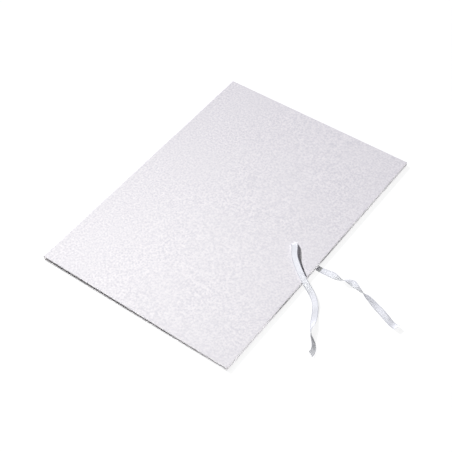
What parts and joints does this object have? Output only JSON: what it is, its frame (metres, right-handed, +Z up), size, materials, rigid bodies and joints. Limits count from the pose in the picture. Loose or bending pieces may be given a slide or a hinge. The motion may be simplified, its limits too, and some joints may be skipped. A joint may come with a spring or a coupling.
{
  "type": "tie file folder",
  "caption": "Stiff folder for loose sheets: two covers and a narrow spine strip wrapped in one grained covering sheet, closed by flat tape ties at the fore edge.",
  "frame": {"origin": "middle of the underside of the closed folder, on the surface that it lies on", "axes": "+X from the spine to the fore edge, +Y along the spine to the head, +Z up through the closed covers"},
  "size_m": [0.3294, 0.31, 0.0094],
  "materials": {
    "board": "grey pasted board, matte",
    "covering": "finely grained white-grey covering paper, matte",
    "lining": "smooth white lining paper, matte",
    "tape": "woven white flat tape, soft sheen"
  },
  "bodies": {
    "back_cover": {"back_board": "board", "back_cover_sheet": "covering", "back_lining": "lining", "back_tie_tail": "tape", "back_tie": "tape"},
    "spine": {"spine_board": "board", "spine_cover_sheet": "covering", "spine_lining": "lining"},
    "front_cover": {"front_board": "board", "front_cover_sheet": "covering", "front_lining": "lining", "front_tie_tail": "tape", "front_tie": "tape"}
  },
  "joints": [
    {"name": "back_crease", "type": "hinge", "parent": "back_cover", "child": "spine", "pos_m": [-0.11356, 0, 0.00044], "axis": [0, -1, 0], "range_deg": [0, 90]},
    {"name": "front_crease", "type": "hinge", "parent": "spine", "child": "front_cover", "pos_m": [-0.11356, 0, 0.00616], "axis": [0, -1, 0], "range_deg": [0, 90.3]}
  ]
}
